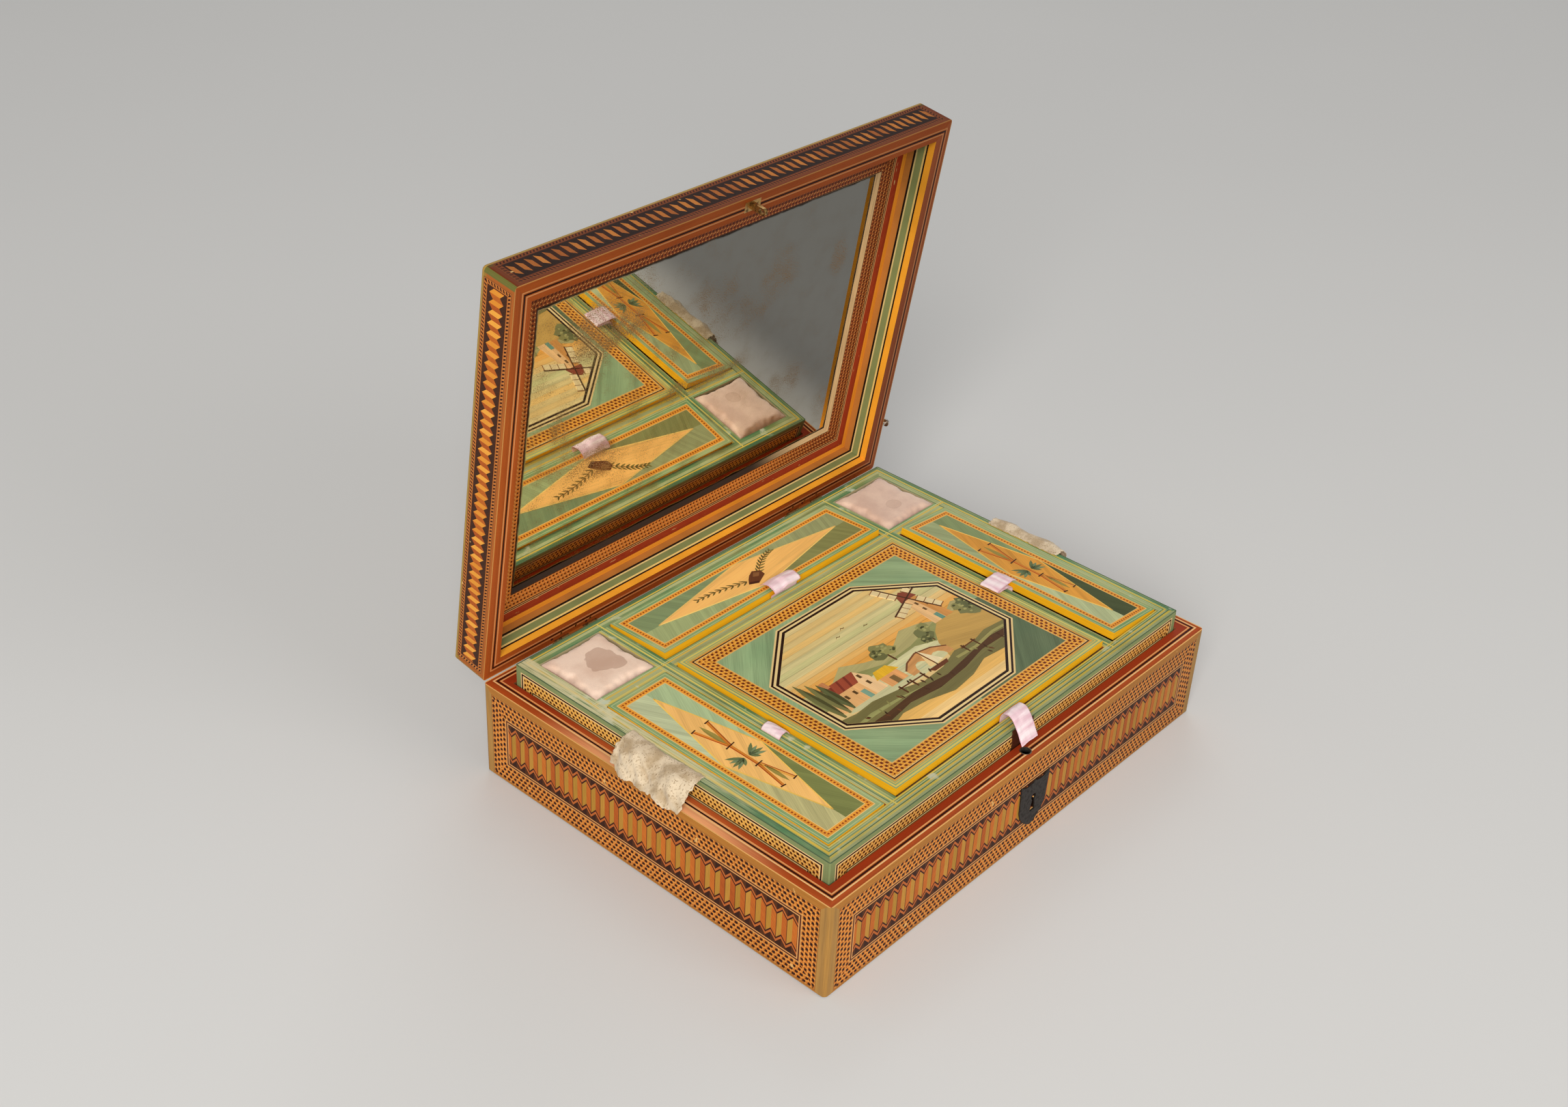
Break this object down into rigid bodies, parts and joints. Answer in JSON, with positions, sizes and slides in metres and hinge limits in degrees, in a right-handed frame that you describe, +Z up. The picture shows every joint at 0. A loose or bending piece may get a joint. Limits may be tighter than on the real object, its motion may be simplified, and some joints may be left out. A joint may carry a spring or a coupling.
{
  "type": "sewing box",
  "caption": "Open sewing box in straw marquetry: mirrored hinged lid, lift-out tray of lidded compartments with pincushions, ribbon pulls, silk tabs and a lock.",
  "frame": {"origin": "middle of the flat underside of the case", "axes": "+X to the right along the lock side, +Y from the lock side to the hinges, +Z up"},
  "size_m": [0.3427, 0.2744, 0.3101],
  "materials": {
    "straw_case": "wood covered in straw marquetry, aged satin",
    "straw_lid": "wood covered in straw marquetry, aged satin",
    "straw_frame": "straw marquetry strip, satin",
    "straw_tray": "green and yellow straw marquetry, satin",
    "straw_compartment_lids": "pictorial straw marquetry, satin",
    "plain_wood": "bare softwood",
    "old_mirror": "old silvered glass with brown spots",
    "pincushion_velvet": "faded pink silk with stains",
    "pink_ribbon": "pink silk ribbon",
    "cream_silk": "torn cream silk",
    "linen": "linen tape",
    "dark_iron": "dark patinated plate",
    "black_knob": "glossy black",
    "brass": "aged brass",
    "lock_steel": "dull steel"
  },
  "bodies": {
    "case": {"case_back_wall": "straw_case", "case_base": "plain_wood", "case_front_wall": "straw_case", "case_left_wall": "straw_case", "case_right_wall": "straw_case", "tray_rest_strips": "plain_wood", "lock_body": "lock_steel", "lock_cover": "lock_steel", "lock_hole_rim": "brass", "escutcheon": "dark_iron", "hinge_left_case_leaf": "brass", "hinge_right_case_leaf": "brass", "hinge_pins": "brass", "hinge_nails_case": "brass"},
    "lid": {"lid_back_wall": "straw_lid", "lid_front_wall": "straw_lid", "lid_left_wall": "straw_lid", "lid_panel": "straw_lid", "lid_right_wall": "straw_lid", "lid_side_stud": "black_knob", "lid_staple": "brass", "mirror_backing": "plain_wood", "mirror_frame_back": "straw_frame", "mirror_frame_front": "straw_frame", "mirror_frame_left": "straw_frame", "mirror_frame_right": "straw_frame", "mirror_glass": "old_mirror", "hinge_left_lid_leaf": "brass", "hinge_right_lid_leaf": "brass", "hinge_nails_lid": "brass"},
    "tray": {"tray_back_wall": "straw_tray", "tray_base": "plain_wood", "tray_divider_ends": "straw_tray", "tray_divider_left": "straw_tray", "tray_divider_middle": "straw_tray", "tray_divider_right": "straw_tray", "tray_front_wall": "straw_tray", "tray_ledges": "plain_wood", "tray_left_wall": "straw_tray", "tray_right_wall": "straw_tray", "tray_tab_left": "cream_silk", "tray_tab_right": "cream_silk", "pincushion_board_left": "plain_wood", "pincushion_board_right": "plain_wood", "pincushion_left": "pincushion_velvet", "pincushion_right": "pincushion_velvet", "back_hinge_linen": "linen", "centre_hinge_linen": "linen", "left_hinge_linen": "linen", "right_hinge_linen": "linen"},
    "lock_bolt": {"lock_bolt": "lock_steel"},
    "back_lid": {"back_lid": "straw_compartment_lids", "back_ribbon": "pink_ribbon"},
    "left_lid": {"left_lid": "straw_compartment_lids", "left_ribbon": "pink_ribbon"},
    "right_lid": {"right_lid": "straw_compartment_lids", "right_ribbon": "pink_ribbon"},
    "centre_lid": {"centre_lid": "straw_compartment_lids", "centre_ribbon": "pink_ribbon"}
  },
  "joints": [
    {"name": "lid_hinge", "type": "hinge", "parent": "case", "child": "lid", "pos_m": [0, 0.1254, 0.0591], "axis": [-1, 0, 0], "range_deg": [-81.5, 18.5], "deforming": ["back_ribbon", "centre_ribbon", "left_ribbon", "right_ribbon", "tray_tab_left", "tray_tab_right"]},
    {"name": "tray_lift", "type": "slide", "parent": "case", "child": "tray", "axis": [0, 0, 1], "range_m": [0, 0.05]},
    {"name": "back_lid_hinge", "type": "hinge", "parent": "tray", "child": "back_lid", "pos_m": [0, 0.1035, 0.0715], "axis": [-1, 0, 0], "range_deg": [0, 92]},
    {"name": "centre_lid_hinge", "type": "hinge", "parent": "tray", "child": "centre_lid", "pos_m": [0, 0.051, 0.0715], "axis": [-1, 0, 0], "range_deg": [0, 95]},
    {"name": "left_lid_hinge", "type": "hinge", "parent": "tray", "child": "left_lid", "pos_m": [-0.1435, -0.02625, 0.0715], "axis": [0, -1, 0], "range_deg": [0, 95]},
    {"name": "right_lid_hinge", "type": "hinge", "parent": "tray", "child": "right_lid", "pos_m": [0.1435, -0.02625, 0.0715], "axis": [0, 1, 0], "range_deg": [0, 95]},
    {"name": "lock_bolt_slide", "type": "slide", "parent": "case", "child": "lock_bolt", "axis": [-1, 0, 0], "range_m": [0, 0.0045]}
  ]
}
